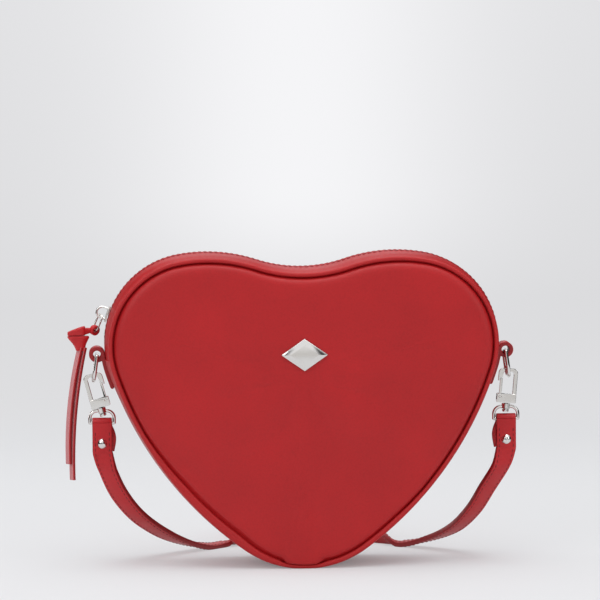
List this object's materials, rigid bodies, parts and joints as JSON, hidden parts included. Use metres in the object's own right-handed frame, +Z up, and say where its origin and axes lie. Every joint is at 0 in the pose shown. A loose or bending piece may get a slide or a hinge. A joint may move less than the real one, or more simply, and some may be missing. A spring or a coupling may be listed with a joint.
{
  "type": "heart shaped zip bag",
  "caption": "Heart shaped crossbody bag with a zip over its lobes, a knotted pull, D rings at the sides and a clip-on leather strap lying behind it.",
  "frame": {"origin": "middle of the flat foot at the heart's tip, on the surface that the bag stands on", "axes": "+X to the right in the front view, +Y to the back, +Z up; the front panel faces -Y"},
  "size_m": [0.2551, 0.1892, 0.1771],
  "materials": {
    "red_leather": "smooth grained calf leather with a soft sheen",
    "strap_leather": "smooth leather with dark painted edges and edge stitching",
    "lining": "plain woven lining cloth",
    "zip_textile": "woven zip tape and nylon teeth in dark red",
    "board": "bonded leather fibre board",
    "padding": "soft padding sheet",
    "polished_metal": "polished nickel plate",
    "spring_steel": "spring wire"
  },
  "bodies": {
    "bag": {"front_panel": "red_leather", "back_panel": "red_leather", "front_piping": "red_leather", "back_piping": "red_leather", "gusset": "red_leather", "gusset_lining": "lining", "front_facing": "red_leather", "back_facing": "red_leather", "front_zip_tape": "zip_textile", "back_zip_tape": "zip_textile", "front_zip_coil": "zip_textile", "back_zip_coil": "zip_textile", "zip_stops": "polished_metal", "front_board": "board", "back_board": "board", "front_padding": "padding", "back_padding": "padding", "front_lining": "lining", "back_lining": "lining", "inside_pocket": "lining", "ornament": "polished_metal", "ornament_washers": "polished_metal", "left_ring_tab": "red_leather", "right_ring_tab": "red_leather"},
    "zip_slider": {"zip_slider": "polished_metal"},
    "pull_ring": {"pull_ring": "polished_metal"},
    "pull_strip": {"pull_strip": "red_leather"},
    "left_ring": {"left_d_ring": "polished_metal"},
    "left_eye": {"left_swivel_eye": "polished_metal"},
    "left_hook": {"left_hook": "polished_metal", "left_gate_pin": "polished_metal", "left_gate_spring": "spring_steel"},
    "left_gate": {"left_gate": "polished_metal"},
    "right_ring": {"right_d_ring": "polished_metal"},
    "right_eye": {"right_swivel_eye": "polished_metal"},
    "right_hook": {"right_hook": "polished_metal", "right_gate_pin": "polished_metal", "right_gate_spring": "spring_steel"},
    "right_gate": {"right_gate": "polished_metal"},
    "strap": {"strap": "strap_leather", "strap_screws": "polished_metal", "strap_screw_nuts": "polished_metal"}
  },
  "joints": [
    {"name": "zip_run", "type": "hinge", "parent": "bag", "child": "zip_slider", "pos_m": [-0.06, 0, 0.124], "axis": [0, 1, 0], "range_deg": [0, 58]},
    {"name": "pull_ring_swing", "type": "hinge", "parent": "zip_slider", "child": "pull_ring", "pos_m": [-0.11101, 0, 0.14156], "axis": [0, 1, 0], "range_deg": [0, 100]},
    {"name": "pull_strip_swing", "type": "hinge", "parent": "pull_ring", "child": "pull_strip", "pos_m": [-0.11523, 0, 0.13162], "axis": [-0.6412, 0.766, 0.0448], "range_deg": [0, 40]},
    {"name": "left_ring_swing", "type": "hinge", "parent": "bag", "child": "left_ring", "pos_m": [-0.1141, 0, 0.11751], "axis": [0, 1, 0], "range_deg": [-3, 3]},
    {"name": "left_eye_tilt", "type": "hinge", "parent": "bag", "child": "left_eye", "pos_m": [-0.11164, 0, 0.07969], "axis": [1, 0, 0], "range_deg": [-3.5, 3.5]},
    {"name": "left_hook_swivel", "type": "hinge", "parent": "left_eye", "child": "left_hook", "pos_m": [-0.11612, 0, 0.10315], "axis": [-0.2588, 0, 0.9659], "range_deg": [-15, 15]},
    {"name": "left_gate_push", "type": "hinge", "parent": "left_hook", "child": "left_gate", "pos_m": [-0.10947, 0, 0.09282], "axis": [0, -1, 0], "range_deg": [0, 22], "stiffness_Nm_per_rad": 0.003, "springref_deg": -20.05},
    {"name": "right_ring_swing", "type": "hinge", "parent": "bag", "child": "right_ring", "pos_m": [0.1141, 0, 0.11751], "axis": [0, 1, 0], "range_deg": [-3, 3]},
    {"name": "right_eye_tilt", "type": "hinge", "parent": "bag", "child": "right_eye", "pos_m": [0.11461, 0, 0.07917], "axis": [1, 0, 0], "range_deg": [-3.5, 3.5]},
    {"name": "right_hook_swivel", "type": "hinge", "parent": "right_eye", "child": "right_hook", "pos_m": [0.11612, 0, 0.10315], "axis": [0.0872, 0, 0.9962], "range_deg": [-15, 15]},
    {"name": "right_gate_push", "type": "hinge", "parent": "right_hook", "child": "right_gate", "pos_m": [0.11137, 0, 0.09183], "axis": [0, 1, 0], "range_deg": [0, 22], "stiffness_Nm_per_rad": 0.003, "springref_deg": -20.05},
    {"name": "strap_lift", "type": "hinge", "parent": "bag", "child": "strap", "pos_m": [-0.11164, 0, 0.07969], "axis": [1, 0, -0.0023], "range_deg": [0, 90]}
  ]
}
